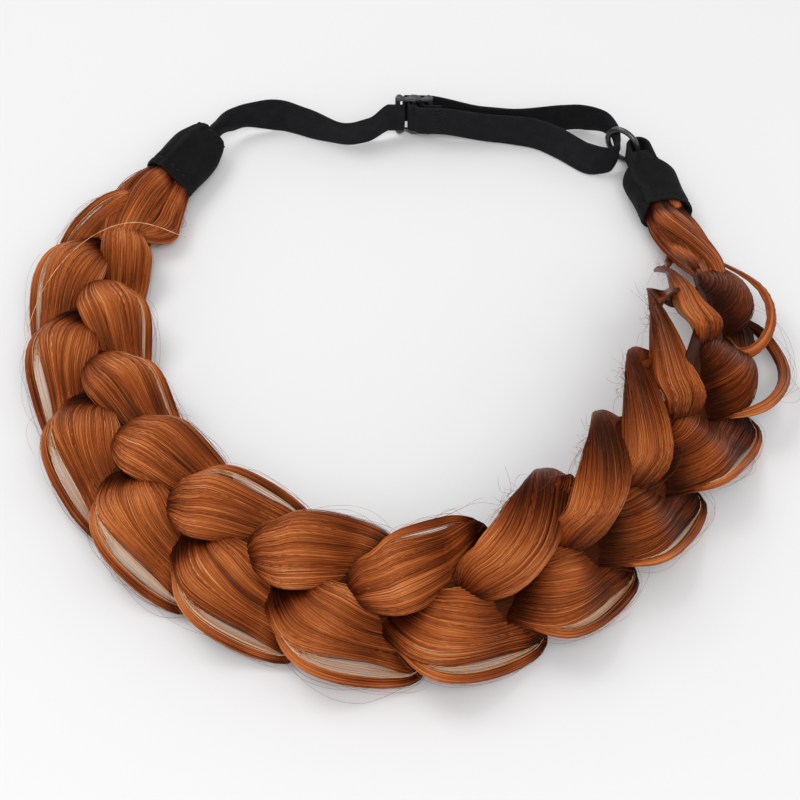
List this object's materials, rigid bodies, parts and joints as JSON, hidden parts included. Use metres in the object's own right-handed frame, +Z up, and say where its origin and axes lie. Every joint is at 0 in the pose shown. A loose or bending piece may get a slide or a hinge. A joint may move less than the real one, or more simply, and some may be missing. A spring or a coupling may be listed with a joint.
{
  "type": "braided hair headband",
  "caption": "Headband of a wide pulled-out braid of hair, closed at the back by a narrow elastic strap with a slider and a ring.",
  "frame": {"origin": "centre of the bounding box in X and Y, on the surface that the headband lies on", "axes": "+Z up from that surface, along the way the head goes in; -Y towards the middle of the braid, the front of the picture; +Y towards the elastic strap; +X towards the sleeve with the ring"},
  "size_m": [0.2388, 0.2366, 0.0443],
  "materials": {
    "hair": "soft sheen, copper brown synthetic hair",
    "tab_fabric": "matte black cloth",
    "strap_elastic": "matte black woven elastic",
    "hardware": "glossy black",
    "ring_wire": "glossy black enamel"
  },
  "bodies": {
    "root": {"strand_1": "hair", "strand_2": "hair", "strand_3": "hair", "left_tab": "tab_fabric", "right_tab": "tab_fabric", "elastic_strap": "strap_elastic", "slider": "hardware", "ring": "ring_wire"}
  },
  "joints": []
}
